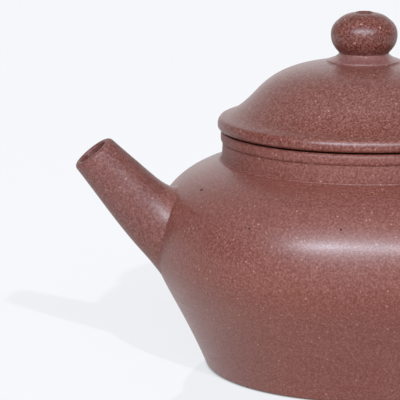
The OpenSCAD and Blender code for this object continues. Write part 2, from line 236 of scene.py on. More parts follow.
def cut_outline(node_name):
    """The half outline of a turned piece on the handle's side: (radius, height) points in order."""
    cut = bpy.data.objects.new("cut_" + node_name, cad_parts[node_name].data.copy())
    bpy.context.scene.collection.objects.link(cut)
    only(cut)
    bpy.ops.object.mode_set(mode="EDIT")
    bpy.ops.mesh.select_all(action="SELECT")
    bpy.ops.mesh.remove_doubles(threshold=MERGE)
    for across, both_sides in (((0, 1, 0), True), ((1, 0, 0), False)):
        bpy.ops.mesh.select_all(action="SELECT")
        bpy.ops.mesh.bisect(plane_co=(0, 0, 0), plane_no=across, clear_inner=True, clear_outer=both_sides,
                            threshold=MERGE)
    bpy.ops.object.mode_set(mode="OBJECT")
    points = [Vector((v.co.x, v.co.z)) for v in cut.data.vertices]
    links = {i: [] for i in range(len(points))}
    for edge in cut.data.edges:
        a, b = edge.vertices
        links[a].append(b)
        links[b].append(a)
    order = [min(links, key=lambda i: len(links[i]))]
    while True:
        onward = [i for i in links[order[-1]] if i not in order]
        if not onward:
            break
        order.append(onward[0])
    bpy.ops.object.delete()
    return [points[i] for i in order]


# %% [markdown]
# ## Smooth lines
# The cut has one point for every short straight step of the model, and a piece spun from it would show flat bands
# in its shine. A Subdivision Surface modifier would round its crisp edges as well, so the line itself is run
# through those points as a smooth curve between its corners. Next to a corner, where two pieces meet, it is cut
# finer still, and the joint then shows no light seam.

# %% Run a smooth line through an outline
CORNER = math.radians(20)
SEAM_PARTS = 3
BODY_STEP = 0.8 * MM


def drop_straight(points):
    """Leaves out the points of a closed outline that lie on a straight run."""
    kept = []
    for i, p in enumerate(points):
        before, after = points[i - 1], points[(i + 1) % len(points)]
        run = (after - before).normalized()
        if abs(run.cross(p - before)) > MERGE or (after - p).dot(p - before) < 0:
            kept.append(p)
    return kept


def finer(points, step):
    """Points at about an even step along a closed outline, curved between its corners."""
    points = drop_straight(points)
    count = len(points)
    sides = [points[(i + 1) % count] - points[i] for i in range(count)]
    corner = [sides[i - 1].angle(sides[i]) > CORNER for i in range(count)]
    along = [(sides[i - 1] + sides[i]).normalized() for i in range(count)]
    line = []
    for i in range(count):
        j = (i + 1) % count
        way = sides[i].normalized()
        leave = along[i]
        arrive = along[j]
        if corner[i]:
            leave = way if corner[j] else 2 * way * way.dot(along[j]) - along[j]
        if corner[j]:
            arrive = way if corner[i] else 2 * way * way.dot(along[i]) - along[i]
        parts = max(1, round(sides[i].length / step)) * (SEAM_PARTS if corner[i] or corner[j] else 1)
        for k in range(parts):
            t = k / parts
            line.append(points[i] * (2 * t ** 3 - 3 * t ** 2 + 1) + points[j] * (3 * t ** 2 - 2 * t ** 3)
                        + sides[i].length * (leave * (t ** 3 - 2 * t ** 2 + t) + arrive * (t ** 3 - t ** 2)))
    return line


for node_name in ("body_wall", "knob"):
    rough = cut_outline(node_name)
    print(node_name, "outline:", len(rough), "points,", len(finer(rough, BODY_STEP)), "after smoothing")

# %% [markdown]
# ## Turned pieces
# A turned piece is its outline spun once round the axis. A circle with one point for each point of the outline
# is added, its points are put on the outline, and Spin does the rest. The seam and the pole are merged, and
# edges sharper than a set angle stay crisp.

# %% Spin an outline
TURN_STEPS = 160
SHARP = math.radians(32)


def close_up(piece):
    """Merges seams and poles, clears loose bits and points the faces outwards."""
    only(piece)
    bpy.ops.object.mode_set(mode="EDIT")
    bpy.ops.mesh.select_all(action="SELECT")
    bpy.ops.mesh.remove_doubles(threshold=MERGE)
    bpy.ops.mesh.delete_loose()
    bpy.ops.mesh.select_all(action="SELECT")
    bpy.ops.mesh.normals_make_consistent(inside=False)
    bpy.ops.object.mode_set(mode="OBJECT")
    bpy.ops.object.shade_smooth_by_angle(angle=SHARP)


def turn(name, line):
    """A piece spun round the pot's axis from an outline of (radius, height) points."""
    bpy.ops.object.select_all(action="DESELECT")
    bpy.ops.mesh.primitive_circle_add(vertices=len(line), fill_type="NOTHING")
    piece = bpy.context.active_object
    piece.name = name
    for vertex, point in zip(piece.data.vertices, line):
        vertex.co = (point.x, 0, point.y)
    bpy.ops.object.mode_set(mode="EDIT")
    bpy.ops.mesh.select_all(action="SELECT")
    bpy.ops.mesh.spin(steps=TURN_STEPS, angle=2 * math.pi, center=(0, 0, 0), axis=(0, 0, 1))
    bpy.ops.object.mode_set(mode="OBJECT")
    close_up(piece)
    print(name, len(piece.data.polygons), "faces")
    return piece


def place(piece, node_name, body, slot):
    """The finished piece stands for its node and moves with its body. Its slot argument is not used."""
    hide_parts(node_name)
    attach(piece, body)


# %% [markdown]
# ## Foot, wall, shoulder and neck
# The potter beats a slab for the foot, a band for the wall and a ring slab for the shoulder, joins them with
# slip and works the seams away. The three outlines meet in the same points, so the spun pieces meet without a
# seam as well. The neck and the ring at the mouth are put on as separate bands, and their joints show.

# %% Turn the pot's own pieces
BAND_STEP = 0.4 * MM
NECK_LEAN = 0.15 * MM


def lean_in(line):
    """Draws the outside of a band in towards its top, as a finger leaves it."""
    low, top = min(p.y for p in line), max(p.y for p in line)
    middle_r = (min(p.x for p in line) + max(p.x for p in line)) / 2
    for p in line:
        if p.x > middle_r:
            p.x -= NECK_LEAN * ((p.y - low) / (top - low)) ** 2


pot_pieces = {}
for name, node_name, step in (("foot_slab", "base_disc", BODY_STEP), ("belly_wall", "body_wall", BODY_STEP),
                              ("shoulder_slab", "shoulder_disc", BODY_STEP),
                              ("neck_collar", "neck_ring", BAND_STEP),
                              ("mouth_band", "mouth_ring", BAND_STEP)):
    line = finer(cut_outline(node_name), step)
    if name == "neck_collar":
        lean_in(line)
    pot_pieces[name] = turn(name, line)
    place(pot_pieces[name], node_name, "pot", "pot_clay")
belly_wall = pot_pieces["belly_wall"]

# %% [markdown]
# ## Skins
# The spout and the handle are stuck on the wall, and their roots swell out and run into it. No operator rolls
# such a joint on a round wall, so these two are worked out ring by ring: a flat grid is added, and its points
# are laid over the rings. A ray along each side of the tube finds the wall, and a short curve swings from the
# tube out along the wall.

# %% Lay a grid over rings of points
ROOT_STEPS = 7
SINK = 0.03 * MM


def skin(name, rings):
    """A grid laid over closed rings of points and joined along its seam."""
    bpy.ops.object.select_all(action="DESELECT")
    bpy.ops.mesh.primitive_grid_add(x_subdivisions=len(rings[0]), y_subdivisions=len(rings) - 1)
    piece = bpy.context.active_object
    piece.name = name
    laid = [p for ring in rings for p in (*ring, ring[0])]
    for vertex, point in zip(piece.data.vertices, laid):
        vertex.co = point
    close_up(piece)
    print(name, len(piece.data.polygons), "faces")
    return piece


def root_rings(tube, hits, spreads, pulls):
    """Rings that flare from the tube to the wall. A pull of 1 runs into the wall, less leaves a crease."""
    middle = sum((at for at, normal in hits), Vector()) / len(hits)
    ends = []
    for (at, normal), spread in zip(hits, spreads):
        out = at - middle
        out = (out - out.dot(normal) * normal).normalized()
        found, landed, up, face = belly_wall.closest_point_on_mesh(at + spread * out)
        ends.append(landed - SINK * up)
    rings = []
    for k in range(1, ROOT_STEPS + 1):
        t = k / ROOT_STEPS
        rings.append([a * (1 - t) ** 2 + 2 * t * (1 - t) * a.lerp(hit[0], pull) + t * t * b
                      for a, hit, b, pull in zip(tube, hits, ends, pulls)])
    return rings


# %% [markdown]
# ## Spout
# A straight tube, a little wider at its root. Its mouth is cut nearly square, with the lower lip a little farther
# out, and its edges were wiped round with a wet finger. It is laid out along its own axis, from the bore at the
# root, out over the lip and back down the outside, and each side slides along the axis to tilt the mouth. A
# cylinder could be scaled and cut instead, but it would know neither the wall nor the taper.

# %% Lay out the spout
SPOUT_SIDES = 72
SPOUT_TIP = Vector((-61.2, 0, 50.3)) * MM
SPOUT_RISE = math.radians(48)
MOUTH_TILT = math.tan(math.radians(4))
SPOUT_TIP_R, SPOUT_ROOT_R = 5.1 * MM, 7.2 * MM
BORE_TIP_R, BORE_ROOT_R = 3.4 * MM, 5.2 * MM
SPOUT_TAPER = 26 * MM
SPOUT_FLARE = 0.36
LIP_R, BORE_LIP_R = 1.0 * MM, 0.5 * MM
MEET_PASSES = 4

inward = Vector((math.cos(SPOUT_RISE), 0, -math.sin(SPOUT_RISE)))
upward = Vector((math.sin(SPOUT_RISE), 0, math.cos(SPOUT_RISE)))
round_spout = [2 * math.pi * k / SPOUT_SIDES for k in range(SPOUT_SIDES)]


def spout_point(depth, radius, a):
    """A point of the spout at a depth below its mouth, a radius from its axis and an angle round it."""
    across = math.cos(a) * Vector((0, 1, 0)) + math.sin(a) * upward
    return SPOUT_TIP + (depth + MOUTH_TILT * radius * math.sin(a)) * inward + radius * across


def spout_r(depth):
    """Outer radius of the spout at a depth below its mouth."""
    t = min(max((depth - LIP_R) / (SPOUT_TAPER - LIP_R), 0), 1)
    pull = SPOUT_TIP_R + SPOUT_FLARE * (SPOUT_ROOT_R - SPOUT_TIP_R)
    return ((1 - t) ** 3 * SPOUT_TIP_R + 3 * (1 - t) ** 2 * t * pull
            + (3 * (1 - t) * t * t + t ** 3) * SPOUT_ROOT_R)


def bore_r(depth):
    """Inner radius of the spout at a depth below its mouth."""
    return BORE_TIP_R + (BORE_ROOT_R - BORE_TIP_R) * min(depth / SPOUT_TAPER, 1)


def meet_wall(radius_at, a):
    """Depth, place and normal where one side of the tube meets the wall."""
    depth = SPOUT_TAPER
    for again in range(MEET_PASSES):
        start = spout_point(0, radius_at(depth), a)
        found, at, normal, face = belly_wall.ray_cast(start, inward)
        depth = (at - start).length
    return depth, at, normal


bpy.context.view_layer.update()
outer_roots = [meet_wall(spout_r, a) for a in round_spout]
bore_roots = [meet_wall(bore_r, a) for a in round_spout]
print("spout length on its short side, mm:", round(min(d for d, at, n in outer_roots) / MM, 1))

# %% [markdown]
# ## Spout joint
# The potter sticks the spout on with slip and smooths the joint with a finger. It stays a soft crease at the sides
# and becomes a saddle on top, where the finger can reach. A Bevel on the joint would be as round everywhere, so
# the flare and its pull towards the wall change round the tube.

# %% Skin the spout
BORE_RINGS, SPOUT_RINGS, LIP_STEPS = 14, 30, 6
FLARE_RISE, FLARE_SIDE, FLARE_TOP = 6.5 * MM, 1.6 * MM, 1.9 * MM
PULL_SIDE, PULL_TOP = 0.64, 0.92


def spout_ring(depths, radius_at):
    """One ring of the spout, with its own depth on each side."""
    return [spout_point(d, radius_at(d), a) for d, a in zip(depths, round_spout)]


bore_ends = [depth for depth, at, normal in bore_roots]
on_top = [max(math.sin(a), 0) ** 2 for a in round_spout]
flares = [FLARE_SIDE + (FLARE_TOP - FLARE_SIDE) * share for share in on_top]
pulls = [PULL_SIDE + (PULL_TOP - PULL_SIDE) * share for share in on_top]
tube_ends = [depth - FLARE_RISE for depth, at, normal in outer_roots]
rings = [[at + SINK * inward for depth, at, normal in bore_roots]]
for k in range(1, BORE_RINGS):
    share = 1 - k / BORE_RINGS
    rings.append(spout_ring([BORE_LIP_R + share * (d - BORE_LIP_R) for d in bore_ends], bore_r))
for centre_r, lip_r, first, last in ((BORE_TIP_R + BORE_LIP_R, BORE_LIP_R, math.pi, math.pi / 2),
                                     (SPOUT_TIP_R - LIP_R, LIP_R, math.pi / 2, 0)):
    for k in range(LIP_STEPS + 1):
        roll = first + (last - first) * k / LIP_STEPS
        depth = lip_r * (1 - math.sin(roll))
        rings.append([spout_point(depth, centre_r + lip_r * math.cos(roll), a) for a in round_spout])
for k in range(1, SPOUT_RINGS + 1):
    share = k / SPOUT_RINGS
    rings.append(spout_ring([LIP_R + share * (d - LIP_R) for d in tube_ends], spout_r))
rings += root_rings(rings[-1], [(at, normal) for depth, at, normal in outer_roots], flares, pulls)
rings.append(rings[0])
spout = skin("pouring_spout", rings)
place(spout, "spout", "pot", "pot_clay")

# %% [markdown]
# ## Handle
# A coil of clay rolled thinner at one end and bent into an ear. Its middle line is three smooth arcs, its
# section an ellipse, and each long side of the coil is followed until it meets the wall.

# %% Bend the handle's middle line
HANDLE_SIDES, HANDLE_RINGS, HANDLE_ARC_STEPS = 48, 72, 40
HANDLE_TOP_W, HANDLE_LOW_W, HANDLE_FLAT = 10.5 * MM, 7.0 * MM, 0.86
HANDLE_TOP_Z, HANDLE_LOW_Z = 40 * MM, 14.5 * MM
HANDLE_TOP_RISE, HANDLE_LOW_RISE = math.radians(42), math.radians(16)
HANDLE_CROWN_X, HANDLE_CROWN_Z = 57.5 * MM, 53 * MM
HANDLE_REACH, HANDLE_REACH_Z = 76.5 * MM, 36 * MM
HANDLE_UP_STRAIGHT, HANDLE_DOWN_STRAIGHT = 0.4, 0.55
HANDLE_ROOT_RISE, HANDLE_ROOT_SPREAD = 2.6 * MM, 2.2 * MM
QUARTER_PULL = 0.5523


def heading(angle):
    """A direction in the handle's plane, at an angle above level."""
    return Vector((math.cos(angle), 0, math.sin(angle)))


def on_wall(height):
    """The place on the handle's side of the wall at a height."""
    found, at, normal, face = belly_wall.ray_cast(Vector((1, 0, height)), Vector((-1, 0, 0)))
    return at


level, upright = Vector((1, 0, 0)), Vector((0, 0, 1))
coil_start = on_wall(HANDLE_TOP_Z) - HANDLE_TOP_W / 2 * heading(HANDLE_TOP_RISE)
coil_end = on_wall(HANDLE_LOW_Z) - HANDLE_LOW_W / 2 * heading(HANDLE_LOW_RISE)
coil_crown = Vector((HANDLE_CROWN_X, 0, HANDLE_CROWN_Z - HANDLE_FLAT * HANDLE_TOP_W / 2))
coil_far = Vector((HANDLE_REACH - HANDLE_FLAT * (HANDLE_TOP_W + HANDLE_LOW_W) / 4, 0, HANDLE_REACH_Z))
up_pull = HANDLE_UP_STRAIGHT * (coil_crown.x - coil_start.x)
down_pull = HANDLE_DOWN_STRAIGHT * (coil_far.x - coil_end.x)
coil_arcs = (
    (coil_start, coil_start + up_pull / math.cos(HANDLE_TOP_RISE) * heading(HANDLE_TOP_RISE),
     coil_crown - up_pull * level, coil_crown),
    (coil_crown, coil_crown + QUARTER_PULL * (coil_far.x - coil_crown.x) * level,
     coil_far + QUARTER_PULL * (coil_crown.z - coil_far.z) * upright, coil_far),
    (coil_far, coil_far - QUARTER_PULL * (coil_far.z - coil_end.z) * upright,
     coil_end + down_pull * heading(HANDLE_LOW_RISE), coil_end))


def coil_ring(path, t, share):
    """One ellipse of points square to the coil, at a share of its whole length."""
    a, b, c, d = path
    middle = (1 - t) ** 3 * a + 3 * (1 - t) ** 2 * t * b + 3 * (1 - t) * t * t * c + t ** 3 * d
    run = (1 - t) ** 2 * (b - a) + 2 * (1 - t) * t * (c - b) + t * t * (d - c)
    across = Vector((-run.z, 0, run.x)).normalized()
    half = (HANDLE_TOP_W + (HANDLE_LOW_W - HANDLE_TOP_W) * share) / 2
    turns = [2 * math.pi * k / HANDLE_SIDES for k in range(HANDLE_SIDES)]
    return [middle + half * (HANDLE_FLAT * math.cos(a) * across + math.sin(a) * Vector((0, 1, 0))) for a in turns]


coil_count = len(coil_arcs) * HANDLE_ARC_STEPS
coil = []
for i in range(coil_count + 1):
    part = min(i // HANDLE_ARC_STEPS, len(coil_arcs) - 1)
    coil.append(coil_ring(coil_arcs[part], i / HANDLE_ARC_STEPS - part, i / coil_count))
print("handle rings:", len(coil))

# %% [markdown]
# ## Handle joints
# The coil's ends go into the wall at a slant, so each side of it meets the wall at another place. A Boolean union
# would find the joint but leave it sharp. So every side is followed with short rays until it meets the wall, and
# from just before that place a short curve swings out along the wall.

# %% Follow the coil's sides to the wall and skin it
def until_wall(side):
    """One side of the coil from outside up to the wall, and the wall's normal where it ends."""
    kept = [side[0]]
    for onward in side[1:]:
        step = onward - kept[-1]
        found, at, normal, face = belly_wall.ray_cast(kept[-1], step.normalized(), distance=step.length)
        if found:
            return [*kept, at], normal
        kept.append(onward)


def spaced(side, count, trim):
    """Points evenly spaced along one side of the coil, short of both its ends."""
    steps = [0]
    for a, b in zip(side, side[1:]):
        steps.append(steps[-1] + (b - a).length)
    points, j = [], 0
    for k in range(count + 1):
        at = trim + (steps[-1] - 2 * trim) * k / count
        while steps[j + 1] < at:
            j += 1
        points.append(side[j].lerp(side[j + 1], (at - steps[j]) / (steps[j + 1] - steps[j])))
    return points


half_way = coil_count // 2
coil_sides, top_hits, low_hits = [], [], []
for k in range(HANDLE_SIDES):
    side = [ring[k] for ring in coil]
    upper, top_normal = until_wall(side[half_way::-1])
    lower, low_normal = until_wall(side[half_way:])
    top_hits.append((upper[-1], top_normal))
    low_hits.append((lower[-1], low_normal))
    coil_sides.append(spaced(upper[::-1] + lower[1:], HANDLE_RINGS, HANDLE_ROOT_RISE))
rings = [list(ring) for ring in zip(*coil_sides)]
spreads, pulls = [HANDLE_ROOT_SPREAD] * HANDLE_SIDES, [1.0] * HANDLE_SIDES
top_root = root_rings(rings[0], top_hits, spreads, pulls)
low_root = root_rings(rings[-1], low_hits, spreads, pulls)


def plug(ring):
    """A ring drawn together in its middle, which closes an end."""
    return [sum(ring, Vector()) / len(ring)] * len(ring)


handle = skin("ear_handle", [plug(top_root[-1]), *top_root[::-1], *rings, *low_root, plug(low_root[-1])])
place(handle, "handle", "pot", "pot_clay")

# %% [markdown]
# ## Hole in the wall
# Before the spout goes on, the potter cuts a hole in the wall for it. A cylinder on the spout's axis is taken
# away from the wall with a Boolean modifier.

# %% Cut the spout's hole
HOLE_DEPTH = 30 * MM
bpy.ops.object.select_all(action="DESELECT")
bpy.ops.mesh.primitive_cylinder_add(
    vertices=SPOUT_SIDES, radius=BORE_ROOT_R, depth=HOLE_DEPTH,
    location=SPOUT_TIP + SPOUT_TAPER * inward, rotation=(0, math.pi / 2 + SPOUT_RISE, 0))
cutter = bpy.context.active_object
only(belly_wall)
hole = belly_wall.modifiers.new("spout_hole", "BOOLEAN")
hole.operation = "DIFFERENCE"
hole.solver = "EXACT"
hole.object = cutter
bpy.ops.object.modifier_apply(modifier=hole.name)
bpy.ops.object.shade_smooth_by_angle(angle=SHARP)
only(cutter)
bpy.ops.object.delete()
print("belly_wall", len(belly_wall.data.polygons), "faces with its hole")

# %% [markdown]
# ## Lid edge
# The lid is an edge ring, a dome, a collar that drops into the neck, a low seat and a ball knob. The edge ring
# bears on the mouth with its inner part only, so a thin dark gap runs round between lid and pot. A Bevel modifier
# could round its edge, but the two rounds differ, so its outline is drawn from arcs: a small one below and a wide
# one above, which carries the long band of shine.

# %% Draw the edge ring's outline
BEARING_R, GAP_H = 29.5 * MM, 0.42 * MM
LOW_ROUND, TOP_ROUND, RIDGE = 0.8 * MM, 2.1 * MM, 0.03 * MM
ROUND_STEPS = 6


def arc(centre, radius, first, last):
    """Points of a round about a centre, between two angles."""
    turns = [first + (last - first) * k / ROUND_STEPS for k in range(ROUND_STEPS + 1)]
    return [centre + radius * Vector((math.cos(a), math.sin(a))) for a in turns]


rim = cut_outline("lid_rim")
rim_in_r, rim_r = min(p.x for p in rim), max(p.x for p in rim)
rim_low, rim_top = min(p.y for p in rim), max(p.y for p in rim)
dome_r = max(p.x for p in cut_outline("lid_dome"))
face_low = rim_low + GAP_H + LOW_ROUND
top_turn = math.acos(1 - (rim_r - dome_r - RIDGE) / TOP_ROUND)
face_top = rim_top - TOP_ROUND * math.sin(top_turn)
rim_line = [Vector((rim_in_r, rim_low)), Vector((BEARING_R, rim_low)), Vector((BEARING_R, rim_low + GAP_H))]
rim_line += arc(Vector((rim_r - LOW_ROUND, face_low)), LOW_ROUND, -math.pi / 2, 0)
rim_line += arc(Vector((rim_r - TOP_ROUND, face_top)), TOP_ROUND, 0, top_turn)
rim_line.append(Vector((rim_in_r, rim_top)))
print("edge ring from", round(rim_in_r / MM, 1), "to", round(rim_r / MM, 1), "mm")

# %% [markdown]
# ## Knob
# A ball of clay, pressed a little flat, with a vent pushed through it so that air can follow the tea. The needle
# left a low lip round the vent, and the potter's finger a low crown. The crown could be pulled up with
# proportional editing, but a rule on the outline's points makes it even all round.

# %% Draw the knob's outline
CROWN_R, CROWN_RISE = 5.8 * MM, 0.42 * MM
VENT_LIP, LIP_SHARE = 0.55 * MM, 0.4


def crown(line, bore_r, wide_z):
    """Lifts the knob's top into a low crown and leaves the vent a thinner lip."""
    lip_z = max(p.y for p in line if p.x > bore_r + VENT_LIP)
    for p in line:
        if p.y > wide_z and p.x > bore_r - MERGE:
            p.y = min(p.y, lip_z) + LIP_SHARE * max(p.y - lip_z, 0)
            p.y += CROWN_RISE * max(1 - (p.x / CROWN_R) ** 3, 0)
    return line


knob = cut_outline("knob")
vent_r = min(p.x for p in knob)
knob_line = crown(finer(knob, BAND_STEP), vent_r, max(knob, key=lambda p: p.x).y)
print("knob", round(max(p.y for p in knob_line) / MM, 1), "mm high, vent radius", round(vent_r / MM, 2), "mm")

# %% [markdown]
# ## Knob's seat
# A low pad between the dome and the knob, wiped hollow round the knob's foot with a wet finger. Its edge was drawn
# out thin over the dome. A sculpting brush could press the hollow, but on the outline it is one short curve.

# %% Draw the seat's outline
SEAT_HOLLOW, SEAT_SKIRT, SEAT_STEPS = 0.3 * MM, 0.7 * MM, 12
SAG_SCALE = 27 / 4
EDGE_ROUND, EDGE_DROP, EDGE_TURN = 0.25 * MM, 0.12 * MM, math.radians(65)
SKIRT_RISE, SKIRT_OUT, SEAT_SINK = 0.1 * MM, 0.2 * MM, 0.11 * MM

seat = cut_outline("knob_seat")
seat_low, seat_top = min(p.y for p in seat), max(p.y for p in seat)
seat_r = max(p.x for p in seat)
seat_edge = max((p for p in seat if p.x > seat_r - MERGE), key=lambda p: p.y)
seat_foot = max((p for p in seat if p.y > seat_top - MERGE), key=lambda p: p.x)
hollow = []
for k in range(SEAT_STEPS):
    t = k / SEAT_STEPS
    sag = SEAT_HOLLOW * SAG_SCALE * t * (1 - t) ** 2
    hollow.append(seat_foot.lerp(seat_edge, t) - Vector((0, sag)))
rounded_edge = arc(seat_edge - Vector((EDGE_ROUND, EDGE_DROP)), EDGE_ROUND, EDGE_TURN, 0)
skirt = [Vector((seat_r, seat_low + SKIRT_RISE)), Vector((seat_r + SKIRT_OUT, seat_low)),
         Vector((seat_r + SEAT_SKIRT, seat_low - SEAT_SINK))]
seat_line = [Vector((vent_r, seat_low - SEAT_SINK)), Vector((vent_r, seat_top)), *hollow, *rounded_edge, *skirt]
print("seat", round(2 * seat_r / MM, 1), "mm wide,", round((seat_top - seat_low) / MM, 2), "mm high")

# %% [markdown]
# ## Turning the lid
# The collar is a plain ring whose corners were wiped round before the firing. On its half outline, that is a short
# curve in each corner. Then the five outlines are spun as the pot's were.

# %% Turn the lid's pieces
FINE_STEP, COLLAR_ROUND = 0.3 * MM, 0.5 * MM


def soften(points, radius):
    """The outline with its corners rounded."""
    points = drop_straight(points)
    line = []
    for i, p in enumerate(points):
        before, after = points[i - 1] - p, points[(i + 1) % len(points)] - p
        if (-before).angle(after) < CORNER:
            line.append(p)
            continue
        first = p + min(radius, before.length / 3) * before.normalized()
        last = p + min(radius, after.length / 3) * after.normalized()
        for k in range(ROUND_STEPS + 1):
            t = k / ROUND_STEPS
            line.append(first * (1 - t) ** 2 + 2 * t * (1 - t) * p + t * t * last)
    return line


collar = soften(cut_outline("lid_flange"), COLLAR_ROUND)
lid_pieces = {}
for name, node_name, line in (("lid_edge", "lid_rim", finer(rim_line, FINE_STEP)),
                              ("lid_crown", "lid_dome", finer(cut_outline("lid_dome"), BODY_STEP)),
                              ("lid_collar", "lid_flange", finer(collar, BODY_STEP)),
                              ("knob_step", "knob_seat", finer(seat_line, FINE_STEP)),
                              ("lid_knob", "knob", knob_line)):
    lid_pieces[name] = turn(name, line)
    place(lid_pieces[name], node_name, "lid", "inner_clay" if name == "lid_collar" else "lid_clay")

# %% [markdown]
# ## Fired clay
# The clay is full of ground rock: pale grains, dark grains and a few burnt-out pits, in a purple-brown body
# that drifts a little in colour. The potter burnished the outside with a horn blade, which laid most grains
# flat and left a satin shine. A picture of clay could be wrapped over the pot, but grains that are scattered
# through space follow every edge and curve with no seam. Each effect is a node group that all the clays share.

# %% Helpers for sums and groups
def math_node(tree, operation, *values):
    """One sum on values or links."""
    return add_node(tree, "Math", dict(enumerate(values)), operation=operation).outputs[0]


def vector_node(tree, operation, inputs):
    """One sum on colours or places."""
    return add_node(tree, "VectorMath", inputs, operation=operation).outputs[0]


def new_group(name, takes, gives):
    """An empty node group with named inputs and outputs, and the nodes that stand for them."""
    tree = bpy.data.node_groups.new(name, "ShaderNodeTree")
    for socket, kind in takes.items():
        tree.interface.new_socket(socket, in_out="INPUT", socket_type="NodeSocket" + kind)
    for socket, kind in gives.items():
        tree.interface.new_socket(socket, in_out="OUTPUT", socket_type="NodeSocket" + kind)
    print("group", name, "takes", list(takes))
    return tree, tree.nodes.new("NodeGroupInput").outputs, tree.nodes.new("NodeGroupOutput").inputs


def use_group(tree, group, inputs):
    """One use of a node group, with its inputs set."""
    return add_node(tree, "Group", inputs, node_tree=group).outputs


# %% [markdown]
# ## Grains
# Bits of rock show as small round spots of uneven size. They could be thousands of little balls, but a Voronoi
# texture parts space into cells with one point each, and a spot round some of these points does the same.

# %% Group for scattered grains
GRAIN_LEAST, GRAIN_SPREAD, GRAIN_CORE = 0.55, 0.9, 0.5


def build_grains():
    """A mask of round grains: how many to the metre, how big a part of their spacing, and what share is kept."""
    tree, given, out = new_group("clay_grains", {"Place": "Vector", "Per metre": "Float", "Radius": "Float",
                                                 "Share": "Float"}, {"Mask": "Float"})
    cells = add_node(tree, "TexVoronoi", {"Vector": given["Place"], "Scale": given["Per metre"]}).outputs
    chance = add_node(tree, "SeparateColor", {0: cells["Color"]}).outputs
    kept = math_node(tree, "LESS_THAN", chance[0], given["Share"])
    uneven = math_node(tree, "MULTIPLY_ADD", chance[1], GRAIN_SPREAD, GRAIN_LEAST)
    radius = math_node(tree, "MULTIPLY", uneven, given["Radius"])
    core = math_node(tree, "MULTIPLY", radius, GRAIN_CORE)
    round_spot = ramp(tree, cells["Distance"], radius, core, 0.0, 1.0)
    tree.links.new(math_node(tree, "MULTIPLY", round_spot, kept), out["Mask"])
    return tree


grains_group = build_grains()

# %% [markdown]
# ## Drift and mottling
# Fire and smoke colour a pot unevenly, and under a lens the clay changes from one grain to the next. Two noise
# textures of very different sizes give both.

# %% Group for drifting colour and fine mottling
DRIFT_LOW, DRIFT_HIGH, DRIFT_DETAIL = 0.3, 0.7, 2.0
MOTTLE_DETAIL, MOTTLE_FINENESS = 3.0, 0.65


def build_tone():
    """Slow drift of colour over the pot, and fine mottling from grain to grain."""
    tree, given, out = new_group("clay_tone", {"Place": "Vector", "Drift per metre": "Float",
                                               "Mottle per metre": "Float"}, {"Drift": "Float", "Mottle": "Float"})
    drift = add_node(tree, "TexNoise", {"Vector": given["Place"], "Scale": given["Drift per metre"],
                                        "Detail": DRIFT_DETAIL})
    steep = add_node(tree, "MapRange", {"Value": drift.outputs["Fac"], "From Min": DRIFT_LOW,
                                        "From Max": DRIFT_HIGH})
    mottle = add_node(tree, "TexNoise", {"Vector": given["Place"], "Scale": given["Mottle per metre"],
                                         "Detail": MOTTLE_DETAIL, "Roughness": MOTTLE_FINENESS})
    tree.links.new(steep.outputs[0], out["Drift"])
    tree.links.new(mottle.outputs["Fac"], out["Mottle"])
    return tree


tone_group = build_tone()

# %% [markdown]
# ## Marks of the blade
# The potter turned the pot under the blade, so its marks are long bands round the axis. A noise texture that is
# squeezed along Z gives such bands.

# %% Group for the burnishing marks
BURNISH_PER_METRE, BURNISH_DETAIL = (60, 60, 900), 2.0


def build_burnish():
    """Long faint bands that run round the pot, left by the blade."""
    tree, given, out = new_group("burnish_marks", {"Place": "Vector"}, {"Streak": "Float"})
    drawn_out = add_node(tree, "Mapping", {"Vector": given["Place"], "Scale": BURNISH_PER_METRE})
    bands = add_node(tree, "TexNoise", {"Vector": drawn_out.outputs[0], "Scale": 1.0, "Detail": BURNISH_DETAIL})
    tree.links.new(bands.outputs["Fac"], out["Streak"])
    return tree


burnish_group = build_burnish()

# %% [markdown]
# ## Pinholes
# Here and there a speck burnt out and left a tiny dark pit. Four of them show on the pot. They could be cut with
# a Boolean, but pits of a third of a millimetre only show as dark dots, so each is a mask round its own place.

# %% Group for a pinhole
PIN_EDGE = 2.0


def build_pinhole():
    """A mask of one small pit round a place."""
    tree, given, out = new_group("pinhole", {"Place": "Vector", "Centre": "Vector", "Radius": "Float"},
                                 {"Mask": "Float"})
    away = add_node(tree, "VectorMath", {0: given["Place"], 1: given["Centre"]}, operation="DISTANCE")
    edge = math_node(tree, "MULTIPLY", given["Radius"], PIN_EDGE)
    tree.links.new(ramp(tree, away.outputs["Value"], given["Radius"], edge, 1.0, 0.0), out["Mask"])
    return tree


pinhole_group = build_pinhole()

# %% [markdown]
# ## Zones
# The pot isn't the same all over. The spout is duller than the body, the neck is matt and the lower wall finer,
# and the lower wall is painted darker and warmer as painted shade. The knob's seat has less grain and is painted
# paler as a painted sheen, the knob itself is coarse and dark, and the lid is painted darker near its edge as
# painted shade. These could be six clays, but then hard edges would show between them. So a zone is a smooth step
# along X or Z, and it adds a little to the grain, tone, warmth, roughness or polish of everything beyond it.

# %% Set out the zones
X, Z = 0, 2


def zone(axis, start, end, **adds):
    """A step from start to end, in millimetres along an axis, and what it adds."""
    return {"axis": axis, "start": start * MM, "end": end * MM, **adds}


POT_ZONES = (
    zone(X, -48, -43, grain=-0.1, polish=0.3, tone=0.1, warm=1.0),
    zone(Z, 46.9, 47.2, grain=0.25, polish=-0.38, roughness=0.06, tone=-0.03),
    zone(Z, 34, 41, grain=-0.25),
    # Lower wall: finer grain, and painted darker and warmer as painted shade.
    zone(Z, 37, 22, grain=-0.4, tone=-0.14, warm=1.0))
LID_ZONES = (
    # Knob's seat: less grain, and painted paler as a painted sheen.
    zone(Z, 69.2, 69.5, grain=-0.3, tone=0.42, warm=-1.0),
    zone(Z, 70.9, 71.6, grain=0.65, polish=-0.24, roughness=-0.03, tone=-0.69, warm=1.0),
    # Lid's edge: less polish, and painted darker and warmer as painted shade.
    zone(Z, 63, 56.6, polish=-0.07, tone=-0.2, warm=0.6))


